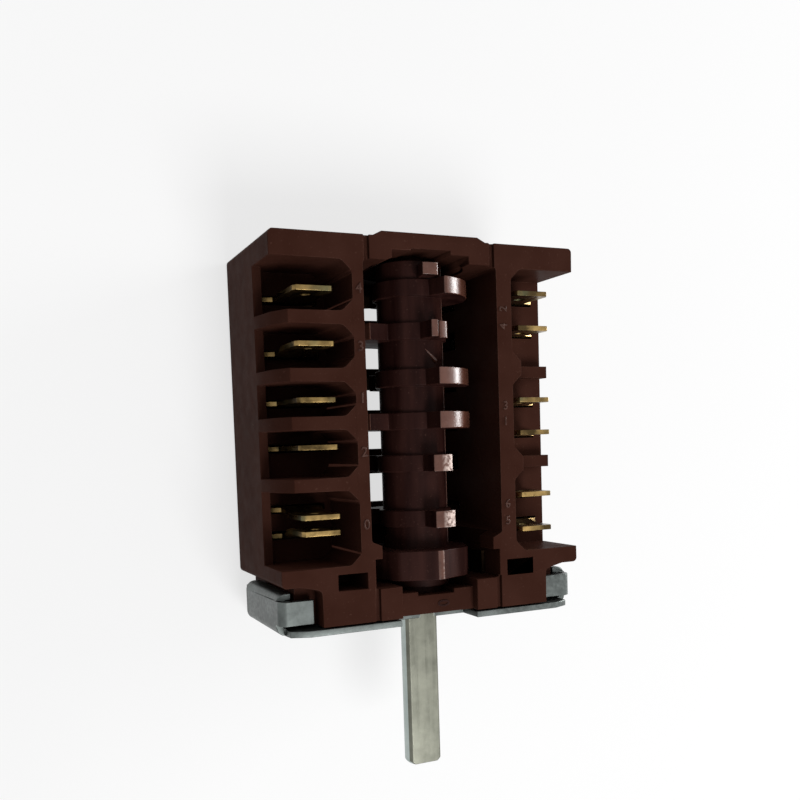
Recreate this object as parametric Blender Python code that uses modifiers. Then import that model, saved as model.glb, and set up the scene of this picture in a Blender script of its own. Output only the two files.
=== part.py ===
"""Rotary cam switch of an oven or hob: six cam discs on one drum, a terminal and a contact for
each disc on both sides, a thermoset housing and a folded steel mounting plate.

The switch lies on its back. X runs across the two banks of terminals, Y along the shaft, whose
free end points to -Y, and Z from the back of the housing up to its open front. Levels along Y are
measured from the face of the housing that meets the mounting plate. Sizes are in metres.
"""

from math import atan2, cos, hypot, pi, radians, sin, sqrt

import bmesh
import bpy
from mathutils import Matrix, Vector

MM = 0.001

# Clearances
SEAT_GAP = 0.3 * MM
RUNNING_GAP = 0.3 * MM
CUT_PAST = 1.0 * MM

# Housing
TOP_WALL = 3.8 * MM
END_ROOM = 1.725 * MM
SIDE_WALL = 1.4 * MM
BACK_WALL = 2.0 * MM
BACK_CHAMFER = 1.2 * MM
POCKET_WIDTH = 11.3 * MM
LEFT_POCKET_FLOOR = 2.3 * MM
RIGHT_POCKET_FLOOR = 5.0 * MM
LEFT_OPENING_DEPTH = 9.0 * MM
POCKET_CORNER = 1.7 * MM
POCKET_CORNER_ROUND = 1.1 * MM
OUTER_CORNER = 0.8 * MM
LEFT_COLUMN = 1.75 * MM
RIGHT_COLUMN = 2.65 * MM
BANK_BASE_UNDERSIDE = 6.34 * MM
BASE_FLANGE = 2.64 * MM
RIB_WIDTH = 2.0 * MM
LEFT_RIB_LEVELS = [46.05 * MM, 37.6 * MM, 30.5 * MM, 21.35 * MM]
RIGHT_RIB_LEVELS = [38.8 * MM, 23.4 * MM]
RIB_END_ACROSS = 2.5 * MM
RIB_END_STEEP_ACROSS = 0.9 * MM
RIB_END_DROP = 3.4 * MM
RIGHT_RIB_DROP = 8.0 * MM
BOSS_HALF_WIDTH = 8.2 * MM
BOSS_RISE = 0.7 * MM
BOSS_SLOPE = 1.4 * MM

# Drum chamber and the index chamber below it
CHAMBER_SIDE_ROOM = 2.05 * MM
CHAMBER_TOP_RISE = 0.25 * MM
LIP_ROOM = 1.05 * MM
LIP_HEIGHT = 2.0 * MM
LIP_SLOPE = 0.7 * MM
LIP_DEPTH = 4.5 * MM
INDEX_SIDE_ROOM = 2.25 * MM
INDEX_CHAMBER_FLOOR = 5.0 * MM
INDEX_CHAMBER_HEIGHT = 4.6 * MM
END_RELIEF_HALF_WIDTH = 6.6 * MM
TOP_RELIEF_HEIGHT = 1.9 * MM
TOP_RELIEF_LEFT_STEP = 0.3 * MM
TOP_RELIEF_RIGHT_STEP = 0.65 * MM
TOP_RELIEF_STEP_HALF_WIDTH = 3.4 * MM
TOP_RELIEF_MOUTH = 1.1 * MM
TOP_RELIEF_MOUTH_RISE = 0.4 * MM
LOWER_RELIEF_DEPTH = 1.35 * MM
LOWER_RELIEF_NOTCH = 0.65 * MM
LOWER_RELIEF_NOTCH_HALF_WIDTH = 3.2 * MM
LOWER_FRONT_STEP = 1.6 * MM
GROOVE_WIDTH = 0.85 * MM
GROOVE_DEPTH = 0.6 * MM
BACK_WINDOW_HALF_WIDTH = 6.0 * MM
BACK_WINDOWS = [
    (16.9 * MM, 22.0 * MM),
    (26.4 * MM, 29.8 * MM),
    (33.3 * MM, 37.2 * MM),
    (40.6 * MM, 44.4 * MM),
    (49.1 * MM, 51.8 * MM),
]

# Core holes beside the index chamber, and the shallow cores in the back of each bank
CORE_SLOT_INSET = 0.85 * MM
CORE_SLOT_WIDTH = 4.8 * MM
CORE_SLOT_LOW = 5.24 * MM
CORE_SLOT_HEIGHT = 2.5 * MM
CORE_SLOT_DEPTH = 8.0 * MM
BACK_CORE_DEPTH = 2.4 * MM
BACK_CORE_WALL = 2.2 * MM
BACK_CORE_COUNT = 3

# Drum: hub, discs, index wheel and journals
AXIS_DEPTH = 8.7 * MM
HUB_RADIUS = 5.3 * MM
PIVOT_RADIUS = 2.4 * MM
PIVOT_LENGTH = 1.5 * MM
JOURNAL_RADIUS = 4.2 * MM
JOURNAL_TOP = 3.95 * MM
JOURNAL_LENGTH = 2.8 * MM
DISC_WIDTH = 2.65 * MM
DISC_BASE_RADIUS = 5.9 * MM
LOBE_RADIUS = 9.4 * MM
LOBE_RAMP = 5.0
DISC_LEVELS = [51.55 * MM, 44.8 * MM, 37.55 * MM, 30.7 * MM, 23.95 * MM, 15.1 * MM]
LOW_LOBE_DROP = 1.2 * MM
# Lobes of each disc: from and to, in degrees from the open front towards the right bank, and how
# far the lobe stays below the full height. Every disc has a full lobe at the back, where the
# contact springs ride: position 0, all circuits open.
DISC_LOBES = [
    [(13, 200, 0.0)],
    [(-3.5, 3.5, 0.0), (10.5, 23, LOW_LOBE_DROP), (160, 294, 0.0)],
    [(3.5, 78, 0.0), (150, 205, 0.0)],
    [(3, 80, 0.0), (155, 290, 0.0)],
    [(-5, 17, 0.0), (150, 212, 0.0)],
    [(-4.5, 19, 0.0), (145, 228, 0.0)],
]
INDEX_POSITIONS = 8
INDEX_RADIUS = 8.7 * MM
INDEX_CREST = 7.0
INDEX_PHASE = 2.0
INDEX_WHEEL_RISE = 0.5 * MM
INDEX_WHEEL_WIDTH = 4.65 * MM
TOOTH_RADIUS = 8.6 * MM
TOOTH_ABOVE_DISC = 0.15 * MM
TOOTH_HEIGHT = 1.9 * MM
TOOTH_HALF_ANGLE = 9.5

# Steel shaft
SHAFT_RADIUS = 3.0 * MM
SHAFT_ACROSS_FLAT = 4.6 * MM
SHAFT_FREE_LENGTH = 25.0 * MM
SHAFT_IN_DRUM = 17.0 * MM
SHAFT_CHAMFER = 0.5 * MM

# Mounting plate
SHEET = 1.0 * MM
PLATE_MARGIN = 0.3 * MM
PLATE_CORNER_ACROSS = 4.1 * MM
PLATE_CORNER_DEEP = 1.2 * MM
PLATE_NOTCH_HALF_WIDTH = 6.65 * MM
PLATE_NOTCH_DEPTH = 5.0 * MM
PLATE_HOLE_RADIUS = 3.6 * MM
SCREW_PITCH = 28.0 * MM
SCREW_CORE_RADIUS = 1.65 * MM
COLLAR_RADIUS = 2.5 * MM
COLLAR_HEIGHT = 1.6 * MM
SCREW_ROOM_RADIUS = 3.0 * MM
SCREW_ROOM_DEPTH = 4.4 * MM
LUG_TOP = 5.1 * MM
LUG_HOOK = 1.9 * MM
LUG_BEND = 0.9 * MM
LUG_BACK = 4.5 * MM
LUG_FRONT_DROP = 1.85 * MM
LUG_RELIEF = 1.0 * MM
TONGUE_WIDTH = 5.4 * MM
TONGUE_LOW = 0.35 * MM
TONGUE_HIGH = 4.1 * MM
TONGUE_ROOM = 0.8 * MM
CORNER_NOTCH_DEPTH = 3.6 * MM
CORNER_NOTCH_HEIGHT = 5.6 * MM

# Terminals, one on each side of every disc
BRASS = 0.8 * MM
TAB_WIDTH = 6.3 * MM
TAB_TIP_DROP = 1.1 * MM
TAB_POINT = 0.7 * MM
TAB_POINT_ACROSS = 0.4 * MM
TAB_HOLE_RADIUS = 0.9 * MM
TAB_HOLE_DROP = 4.0 * MM
SHOULDER_INSET_NEAR = 1.4 * MM
SHOULDER_INSET_FAR = 0.4 * MM
SHOULDER_RISE = 0.5 * MM
SHOULDER_LENGTH = 1.2 * MM
RISER_WIDTH = 6.7 * MM
JOG_LENGTH = 1.8 * MM
FOOT_INSET = 1.15 * MM
FOOT_WIDTH = 9.0 * MM
FOOT_FLOOR = 3.85 * MM
FOOT_PAST_DISC = 1.0 * MM
SHORTEST_FOOT = 2.4 * MM
FOOT_BEND = 0.7 * MM
LEFT_TABS = [50.4 * MM, 42.3 * MM, 34.0 * MM, 26.95 * MM, 16.5 * MM, 14.05 * MM]
LEFT_ROOTS = [50.2 * MM, 41.75 * MM, 34.0 * MM, 26.9 * MM, 17.25 * MM, 13.1 * MM]
RIGHT_TABS = [51.0 * MM, 45.4 * MM, 33.7 * MM, 28.35 * MM, 18.1 * MM, 12.4 * MM]
RIGHT_ROOTS = [51.0 * MM, 45.5 * MM, 33.5 * MM, 28.2 * MM, 17.6 * MM, 12.9 * MM]

# Contact springs and their silver contacts
SPRING_SHEET = 0.35 * MM
SPRING_WIDTH = 2.0 * MM
SPRING_NOSE_RISE = 1.5 * MM
SPRING_NOSE_HALF_WIDTH = 3.0 * MM
CONTACT_RADIUS = 1.15 * MM
CONTACT_HEIGHT = 0.7 * MM
CONTACT_OPENING = 2.2 * MM
CONTACT_INSET = 1.8 * MM

# Index springs
INDEX_SHEET = 0.5 * MM
INDEX_SPRING_WIDTH = 3.6 * MM
INDEX_SPRING_REACH_FRONT = 4.0 * MM
INDEX_SPRING_REACH_BACK = 11.5 * MM
INDEX_BUMP_HALF_WIDTH = 2.3 * MM

# Facets
ROUND_STEPS = 40
SMALL_ROUND_STEPS = 14
ARC_STEP = 7.5
CORNER_STEPS = 4
SHARP_ANGLE = 35.0

# Heights, widths and levels that follow from the sizes above
FRONT = (
    AXIS_DEPTH + LOBE_RADIUS + RUNNING_GAP + SPRING_NOSE_RISE + SPRING_SHEET
    + BRASS + 2 * SEAT_GAP + FOOT_FLOOR
)
AXIS_HEIGHT = FRONT - AXIS_DEPTH
CHAMBER_HALF_WIDTH = LOBE_RADIUS + CHAMBER_SIDE_ROOM
BANK_BASE = BANK_BASE_UNDERSIDE + BASE_FLANGE
BANK_TOP = max(DISC_LEVELS) + DISC_WIDTH / 2 + END_ROOM
HOUSING_TOP = BANK_TOP + TOP_WALL
BANK_INSIDE = CHAMBER_HALF_WIDTH + LEFT_COLUMN + POCKET_WIDTH
HOUSING_HALF_WIDTH = BANK_INSIDE + SIDE_WALL
PLATE_HALF_WIDTH = HOUSING_HALF_WIDTH
INDEX_CHAMBER_HALF_WIDTH = INDEX_RADIUS + INDEX_SIDE_ROOM
LIP_HALF_WIDTH = INDEX_RADIUS + LIP_ROOM
CHAMBER_TOP = BANK_TOP + CHAMBER_TOP_RISE
RELIEF_TOP = CHAMBER_TOP + TOP_RELIEF_HEIGHT
HUB_TOP = RELIEF_TOP - max(TOP_RELIEF_LEFT_STEP, TOP_RELIEF_RIGHT_STEP) - RUNNING_GAP
INDEX_LOW = INDEX_CHAMBER_FLOOR + INDEX_WHEEL_RISE
INDEX_HIGH = INDEX_LOW + INDEX_WHEEL_WIDTH
TOOTH_LOW = max(DISC_LEVELS) + DISC_WIDTH / 2 + TOOTH_ABOVE_DISC
TAB_CENTRE = BANK_INSIDE - POCKET_WIDTH / 2
SHOULDER_NEAR = BANK_INSIDE - POCKET_WIDTH + SHOULDER_INSET_NEAR
SHOULDER_FAR = BANK_INSIDE - SHOULDER_INSET_FAR
RISER_NEAR = SHOULDER_FAR - RISER_WIDTH
FOOT_NEAR = CHAMBER_HALF_WIDTH + FOOT_INSET
FOOT_FAR = FOOT_NEAR + FOOT_WIDTH
CONTACT_REACH = FOOT_NEAR + CONTACT_INSET
LIP_LOW = INDEX_CHAMBER_FLOOR + INDEX_CHAMBER_HEIGHT
LIP_HIGH = LIP_LOW + LIP_HEIGHT
SPRING_CREST = AXIS_HEIGHT - LOBE_RADIUS - RUNNING_GAP
SPRING_LEVEL = SPRING_CREST - SPRING_NOSE_RISE - SPRING_SHEET / 2
LEFT_FOOT_HEIGHT = SPRING_LEVEL - SPRING_SHEET / 2 - SEAT_GAP - BRASS / 2
MOVING_CONTACT_BASE = SPRING_LEVEL + SPRING_SHEET / 2 + SEAT_GAP
FIXED_CONTACT_BASE = MOVING_CONTACT_BASE + CONTACT_HEIGHT + CONTACT_OPENING
RIGHT_FOOT_HEIGHT = FIXED_CONTACT_BASE + CONTACT_HEIGHT + SEAT_GAP + BRASS / 2
LEFT_FLOOR = RIGHT_FOOT_HEIGHT + LEFT_POCKET_FLOOR
RIGHT_FLOOR = RIGHT_FOOT_HEIGHT + RIGHT_POCKET_FLOOR
PLATE_FACE = -SEAT_GAP
PLATE_OUTSIDE = PLATE_FACE - SHEET
LUG_INSIDE = PLATE_HALF_WIDTH - SHEET / 2
BASE_HALF_WIDTH = LUG_INSIDE - SHEET / 2 - SEAT_GAP
LEDGE_TOP = LUG_TOP - SHEET - SEAT_GAP
LEDGE_INSIDE = LUG_INSIDE - LUG_HOOK - SHEET / 2
SHAFT_END = PLATE_OUTSIDE - SHAFT_FREE_LENGTH
BOSS_TOP = HOUSING_TOP + BOSS_RISE
MIDDLE = (BOSS_TOP + SHAFT_END) / 2


# Scene, materials and objects


def clear_scene():
    for old in list(bpy.data.objects):
        bpy.data.objects.remove(old, do_unlink=True)


def new_collection(name, hidden=False):
    collection = bpy.data.collections.new(name)
    collection.hide_render = hidden
    bpy.context.scene.collection.children.link(collection)
    return collection


def new_material(name, colour, roughness, metallic=0.0):
    material = bpy.data.materials.new(name)
    material.use_nodes = True
    shader = material.node_tree.nodes["Principled BSDF"]
    shader.inputs["Base Color"].default_value = (*colour, 1.0)
    shader.inputs["Roughness"].default_value = roughness
    shader.inputs["Metallic"].default_value = metallic
    material.diffuse_color = (*colour, 1.0)
    return material


clear_scene()
SWITCH = new_collection("rotary_switch")
CUTTERS = new_collection("cutters", hidden=True)

THERMOSET = new_material("brown_thermoset", (0.085, 0.032, 0.025), 0.45)
DRUM_PLASTIC = new_material("brown_drum", (0.12, 0.05, 0.042), 0.3)
ZINC_STEEL = new_material("zinc_steel", (0.55, 0.56, 0.54), 0.35, 1.0)
BRASS_SHEET = new_material("brass", (0.8, 0.58, 0.25), 0.3, 1.0)
SPRING_BRONZE = new_material("spring_bronze", (0.7, 0.45, 0.22), 0.35, 1.0)
SILVER = new_material("silver", (0.8, 0.8, 0.78), 0.25, 1.0)

FRAME = bpy.data.objects.new("switch_frame", None)
FRAME.location = (0.0, -MIDDLE, 0.0)
SWITCH.objects.link(FRAME)
# The drum's own frame: its local Z lies on the joint axis and points along +Y.
DRUM_FRAME = bpy.data.objects.new("drum_axis", None)
DRUM_FRAME.location = (0.0, 0.0, AXIS_HEIGHT)
DRUM_FRAME.rotation_euler = (-pi / 2, 0.0, 0.0)
DRUM_FRAME.parent = FRAME
SWITCH.objects.link(DRUM_FRAME)


def add_object(name, mesh, material=None, parent=FRAME):
    """A piece of the switch where it has a material, and otherwise a cutter."""
    piece = bpy.data.objects.new(name, mesh)
    piece.parent = parent
    if material is None:
        piece.hide_render = True
        piece.display_type = "WIRE"
        CUTTERS.objects.link(piece)
    else:
        mesh.materials.append(material)
        SWITCH.objects.link(piece)
    return piece


def mesh_from(name, bm):
    bmesh.ops.recalc_face_normals(bm, faces=bm.faces)
    mesh = bpy.data.meshes.new(name)
    bm.to_mesh(mesh)
    bm.free()
    return mesh


def smooth(piece):
    piece.data.shade_smooth()
    piece.data.set_sharp_from_angle(angle=radians(SHARP_ANGLE))


def combine(piece, other, operation):
    modifier = piece.modifiers.new(other.name, "BOOLEAN")
    modifier.operation = operation
    modifier.object = other


def combine_all(piece, others, operation):
    for other in others:
        combine(piece, other, operation)


# Basic shapes


def block(name, low, high, material=None, parent=FRAME):
    bm = bmesh.new()
    size = Vector(high) - Vector(low)
    middle = (Vector(high) + Vector(low)) / 2
    place = Matrix.Translation(middle) @ Matrix.Diagonal((*size, 1.0))
    bmesh.ops.create_cube(bm, size=1.0, matrix=place)
    return add_object(name, mesh_from(name, bm), material, parent)


def rod(name, radius, low, high, across=0.0, height=AXIS_HEIGHT, steps=ROUND_STEPS):
    """A cylinder along Y, between two levels."""
    bm = bmesh.new()
    turn = Matrix.Rotation(-pi / 2, 4, "X")
    place = Matrix.Translation((across, (low + high) / 2, height)) @ turn
    bmesh.ops.create_cone(
        bm, cap_ends=True, segments=steps, radius1=radius, radius2=radius,
        depth=high - low, matrix=place,
    )
    piece = add_object(name, mesh_from(name, bm))
    smooth(piece)
    return piece


def upright_disc(name, radius, centre, low, high, material, steps=SMALL_ROUND_STEPS):
    """A cylinder along Z, between two heights."""
    bm = bmesh.new()
    place = Matrix.Translation((centre[0], centre[1], (low + high) / 2))
    bmesh.ops.create_cone(
        bm, cap_ends=True, segments=steps, radius1=radius, radius2=radius,
        depth=high - low, matrix=place,
    )
    piece = add_object(name, mesh_from(name, bm), material)
    smooth(piece)
    return piece


def rounded(corners, radius, closed=True, steps=CORNER_STEPS):
    """The outline with each corner given an arc. radius is one size, or one for each corner."""
    count = len(corners)
    radii = radius if isinstance(radius, list) else [radius] * count
    points = []
    for i, corner in enumerate(corners):
        here = Vector(corner)
        at_end = not closed and i in (0, count - 1)
        if radii[i] <= 0 or at_end:
            points.append(tuple(here))
            continue
        before = (Vector(corners[i - 1]) - here).normalized()
        after = (Vector(corners[(i + 1) % count]) - here).normalized()
        half = before.angle(after) / 2
        if half > radians(89):
            points.append(tuple(here))
            continue
        reach = radii[i] / abs(sin(half) / cos(half))
        centre = here + (before + after).normalized() * (radii[i] / sin(half))
        start = here + before * reach - centre
        finish = here + after * reach - centre
        first = atan2(start.y, start.x)
        turn = (atan2(finish.y, finish.x) - first + pi) % (2 * pi) - pi
        for step in range(steps + 1):
            angle = first + turn * step / steps
            points.append((centre.x + radii[i] * cos(angle), centre.y + radii[i] * sin(angle)))
    return points


PLANES = {
    "XY": Matrix(((1, 0, 0, 0), (0, 1, 0, 0), (0, 0, 1, 0), (0, 0, 0, 1))),
    "XZ": Matrix(((1, 0, 0, 0), (0, 0, 1, 0), (0, 1, 0, 0), (0, 0, 0, 1))),
    "YZ": Matrix(((0, 0, 1, 0), (1, 0, 0, 0), (0, 1, 0, 0), (0, 0, 0, 1))),
}


def prism(name, outline, low, high, plane="XY", material=None, parent=FRAME):
    """A flat outline drawn in a plane, filled and drawn out square to it from low to high."""
    curve = bpy.data.curves.new(name, "CURVE")
    curve.dimensions = "2D"
    curve.fill_mode = "BOTH"
    curve.extrude = (high - low) / 2
    spline = curve.splines.new("POLY")
    spline.points.add(len(outline) - 1)
    for point, (across, along) in zip(spline.points, outline):
        point.co = (across, along, 0.0, 1.0)
    spline.use_cyclic_u = True
    guide = bpy.data.objects.new(name + "_outline", curve)
    bpy.context.scene.collection.objects.link(guide)
    mesh = bpy.data.meshes.new_from_object(
        guide.evaluated_get(bpy.context.evaluated_depsgraph_get())
    )
    bpy.data.objects.remove(guide, do_unlink=True)
    bpy.data.curves.remove(curve)
    bm = bmesh.new()
    bm.from_mesh(mesh)
    bpy.data.meshes.remove(mesh)
    bmesh.ops.remove_doubles(bm, verts=bm.verts, dist=1e-7)
    caps = [face for face in bm.faces if len({round(vert.co.z, 7) for vert in face.verts}) == 1]
    bmesh.ops.dissolve_faces(bm, faces=caps)
    lift = Matrix.Translation((0.0, 0.0, (low + high) / 2))
    bmesh.ops.transform(bm, matrix=PLANES[plane] @ lift, verts=bm.verts)
    piece = add_object(name, mesh_from(name, bm), material, parent)
    smooth(piece)
    return piece


def sheet_strip(name, rows, thickness, plane="YZ", material=None, parent=FRAME):
    """Sheet metal bent along a path. Each row is a point of the path and its reach across it."""
    bm = bmesh.new()
    near = [bm.verts.new((along, up, low)) for along, up, low, _ in rows]
    edges = [bm.edges.new(pair) for pair in zip(near, near[1:])]
    made = bmesh.ops.extrude_edge_only(bm, edges=edges)["geom"]
    far = [item for item in made if isinstance(item, bmesh.types.BMVert)]
    for vert in far:
        row = min(rows, key=lambda r: hypot(vert.co.x - r[0], vert.co.y - r[1]))
        vert.co.z = row[3]
    bmesh.ops.transform(bm, matrix=PLANES[plane], verts=bm.verts)
    piece = add_object(name, mesh_from(name, bm), material, parent)
    smooth(piece)
    solid = piece.modifiers.new("sheet", "SOLIDIFY")
    solid.thickness = thickness
    solid.offset = 0.0
    solid.use_even_offset = True
    return piece


def bent_rows(rows, radius, steps=CORNER_STEPS):
    """The rows of a strip with an arc at each bend, all of an arc as wide as its corner."""
    path = [(along, up) for along, up, _, _ in rows]
    points = []
    for i, row in enumerate(rows):
        if i in (0, len(rows) - 1):
            points.append(row)
            continue
        arc = rounded([path[i - 1], path[i], path[i + 1]], radius, closed=False, steps=steps)
        points += [(along, up, row[2], row[3]) for along, up in arc[1:-1]]
    return points


# Housing


def housing_outline():
    half = [
        (BASE_HALF_WIDTH, 0.0),
        (BASE_HALF_WIDTH, LEDGE_TOP),
        (LEDGE_INSIDE, LEDGE_TOP),
        (LEDGE_INSIDE, BANK_BASE_UNDERSIDE),
        (HOUSING_HALF_WIDTH, BANK_BASE_UNDERSIDE),
        (HOUSING_HALF_WIDTH, HOUSING_TOP),
        (BOSS_HALF_WIDTH + BOSS_SLOPE, HOUSING_TOP),
        (BOSS_HALF_WIDTH, BOSS_TOP),
    ]
    radii = [0, 0, 0, 0, OUTER_CORNER, OUTER_CORNER, 0, 0]
    other = [(-across, along) for across, along in reversed(half)]
    return rounded(half + other, radii + radii[::-1])


def pocket_outline(near, low, high, side):
    """A terminal pocket seen from the front, its two corners at the column cut off and eased."""
    far = BANK_INSIDE
    corners = [
        (far, low),
        (far, high),
        (near + POCKET_CORNER, high),
        (near, high - POCKET_CORNER),
        (near, low + POCKET_CORNER),
        (near + POCKET_CORNER, low),
    ]
    radii = [0.0] * 2 + [POCKET_CORNER_ROUND] * 4
    return [(side * across, along) for across, along in rounded(corners, radii, steps=3)]


def spans(rib_levels):
    """From and to along Y of each pocket between the ribs."""
    edges = [BANK_BASE]
    for level in sorted(rib_levels):
        edges += [level - RIB_WIDTH / 2, level + RIB_WIDTH / 2]
    edges.append(BANK_TOP)
    return list(zip(edges[0::2], edges[1::2]))


def bank_cutters():
    """The pockets of both banks and their openings to the side."""
    made = []
    past = HOUSING_HALF_WIDTH + CUT_PAST
    for side, word, column, ribs, floor, sill in (
        (-1, "left", LEFT_COLUMN, LEFT_RIB_LEVELS, LEFT_FLOOR, FRONT - LEFT_OPENING_DEPTH),
        (1, "right", RIGHT_COLUMN, RIGHT_RIB_LEVELS, RIGHT_FLOOR, RIGHT_FLOOR),
    ):
        near = CHAMBER_HALF_WIDTH + column
        for number, (low, high) in enumerate(spans(ribs), 1):
            outline = pocket_outline(near, low, high, side)
            made.append(prism(f"{word}_pocket_{number}", outline, floor, FRONT + CUT_PAST))
            across = sorted((side * (BANK_INSIDE - SEAT_GAP), side * past))
            made.append(
                block(
                    f"{word}_side_opening_{number}",
                    (across[0], low, sill),
                    (across[1], high, FRONT + CUT_PAST),
                )
            )
    trim_near = CHAMBER_HALF_WIDTH + RIGHT_COLUMN + POCKET_CORNER
    made.append(
        block(
            "right_rib_trim",
            (trim_near, BANK_BASE + RIB_WIDTH, FRONT - RIGHT_RIB_DROP),
            (past, BANK_TOP - RIB_WIDTH, FRONT + CUT_PAST),
        )
    )
    start = RIB_END_ACROSS - HOUSING_HALF_WIDTH
    for number, level in enumerate(LEFT_RIB_LEVELS, 1):
        slope = [
            (start, FRONT),
            (start, FRONT + CUT_PAST),
            (-past, FRONT + CUT_PAST),
            (-past, FRONT - LEFT_OPENING_DEPTH),
            (-HOUSING_HALF_WIDTH, FRONT - LEFT_OPENING_DEPTH),
            (RIB_END_STEEP_ACROSS - HOUSING_HALF_WIDTH, FRONT - RIB_END_DROP),
        ]
        reach = RIB_WIDTH / 2 + SEAT_GAP
        made.append(prism(f"rib_end_slope_{number}", slope, level - reach, level + reach, "XZ"))
    return made


def chamber_cutters():
    """The drum chamber, the index chamber below it, and the relief at both ends."""
    half = [
        (INDEX_CHAMBER_HALF_WIDTH, INDEX_CHAMBER_FLOOR),
        (INDEX_CHAMBER_HALF_WIDTH, LIP_LOW),
        (LIP_HALF_WIDTH, LIP_LOW),
        (LIP_HALF_WIDTH, LIP_HIGH),
        (CHAMBER_HALF_WIDTH, LIP_HIGH + LIP_SLOPE),
        (CHAMBER_HALF_WIDTH, CHAMBER_TOP),
    ]
    radii = [0.0, 0.0, 0.0, 0.0, 0.4 * MM, OUTER_CORNER]
    outline = rounded(half + [(-a, b) for a, b in reversed(half)], radii + radii[::-1])
    relief = END_RELIEF_HALF_WIDTH
    step = TOP_RELIEF_STEP_HALF_WIDTH
    top_relief = [
        (relief, CHAMBER_TOP - CUT_PAST),
        (relief, RELIEF_TOP - TOP_RELIEF_RIGHT_STEP),
        (step, RELIEF_TOP - TOP_RELIEF_RIGHT_STEP),
        (step, RELIEF_TOP),
        (-step, RELIEF_TOP),
        (-step, RELIEF_TOP - TOP_RELIEF_LEFT_STEP),
        (-relief, RELIEF_TOP - TOP_RELIEF_LEFT_STEP),
        (-relief, CHAMBER_TOP + TOP_RELIEF_MOUTH_RISE),
        (-relief - TOP_RELIEF_MOUTH, CHAMBER_TOP),
        (-relief - TOP_RELIEF_MOUTH, CHAMBER_TOP - CUT_PAST),
    ]
    floor = INDEX_CHAMBER_FLOOR - LOWER_RELIEF_DEPTH
    notch = LOWER_RELIEF_NOTCH_HALF_WIDTH
    lower_relief = [
        (relief, floor),
        (relief, INDEX_CHAMBER_FLOOR + CUT_PAST),
        (-relief, INDEX_CHAMBER_FLOOR + CUT_PAST),
        (-relief, floor),
        (-notch, floor),
        (-notch, floor - LOWER_RELIEF_NOTCH),
        (notch, floor - LOWER_RELIEF_NOTCH),
        (notch, floor),
    ]
    relief_back = AXIS_HEIGHT - relief
    front = FRONT + CUT_PAST
    return [
        prism("drum_chamber", outline, BACK_WALL, front),
        block(
            "room_behind_lips",
            (-CHAMBER_HALF_WIDTH, LIP_LOW, BACK_WALL),
            (CHAMBER_HALF_WIDTH, LIP_HIGH + LIP_SLOPE, FRONT - LIP_DEPTH),
        ),
        prism("top_relief", top_relief, relief_back, front),
        prism("lower_relief", lower_relief, relief_back, front),
        block(
            "lower_front_step",
            (-relief, -CUT_PAST, FRONT - LOWER_FRONT_STEP),
            (relief, INDEX_CHAMBER_FLOOR, front),
        ),
        rod(
            "tooth_room",
            TOOTH_RADIUS + RUNNING_GAP,
            CHAMBER_TOP - CUT_PAST,
            TOOTH_LOW + TOOTH_HEIGHT + RUNNING_GAP,
        ),
        rod(
            "pivot_bearing",
            PIVOT_RADIUS + RUNNING_GAP,
            RELIEF_TOP - CUT_PAST,
            HUB_TOP + PIVOT_LENGTH + RUNNING_GAP,
        ),
        rod(
            "journal_bearing",
            JOURNAL_RADIUS + RUNNING_GAP,
            JOURNAL_TOP - JOURNAL_LENGTH - RUNNING_GAP,
            INDEX_CHAMBER_FLOOR,
        ),
        rod("shaft_passage", SHAFT_RADIUS + RUNNING_GAP, -CUT_PAST, JOURNAL_TOP),
    ]


def groove_cutters():
    """Grooves that carry the chamber's side faces on through the front of both end walls."""
    made = []
    for side, word in ((-1, "left"), (1, "right")):
        inner = CHAMBER_HALF_WIDTH - GROOVE_WIDTH - SEAT_GAP
        across = sorted((side * inner, side * (inner + GROOVE_WIDTH)))
        for end, low, high in (
            ("upper", BANK_TOP - CUT_PAST, HOUSING_TOP + CUT_PAST),
            ("lower", -CUT_PAST, INDEX_CHAMBER_FLOOR + SEAT_GAP),
        ):
            made.append(
                block(
                    f"{word}_{end}_groove",
                    (across[0], low, FRONT - GROOVE_DEPTH),
                    (across[1], high, FRONT + CUT_PAST),
                )
            )
    return made


def base_cutters():
    """Core slots, corner notches for the plate's tongues and room for the mounting screws."""
    made = []
    inner = PLATE_HALF_WIDTH - TONGUE_WIDTH - TONGUE_ROOM
    core_near = CHAMBER_HALF_WIDTH + CORE_SLOT_INSET
    notch = rounded(
        [
            (inner, -CUT_PAST),
            (HOUSING_HALF_WIDTH + CUT_PAST, -CUT_PAST),
            (HOUSING_HALF_WIDTH + CUT_PAST, BANK_BASE_UNDERSIDE),
            (LEDGE_INSIDE, BANK_BASE_UNDERSIDE),
            (inner, CORNER_NOTCH_HEIGHT),
        ],
        [0, 0, 0, 0, OUTER_CORNER],
    )
    for side, word in ((-1, "left"), (1, "right")):
        across = sorted((side * core_near, side * (core_near + CORE_SLOT_WIDTH)))
        made.append(
            block(
                f"{word}_core_slot",
                (across[0], CORE_SLOT_LOW, FRONT - CORE_SLOT_DEPTH),
                (across[1], CORE_SLOT_LOW + CORE_SLOT_HEIGHT, FRONT + CUT_PAST),
            )
        )
        outline = [(side * a, b) for a, b in notch]
        back = FRONT - CORNER_NOTCH_DEPTH
        made.append(prism(f"{word}_corner_notch", outline, back, FRONT + CUT_PAST))
        made.append(
            rod(
                f"{word}_screw_room", SCREW_ROOM_RADIUS, -CUT_PAST, SCREW_ROOM_DEPTH,
                across=side * SCREW_PITCH / 2, steps=SMALL_ROUND_STEPS * 2,
            )
        )
    return made


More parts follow.
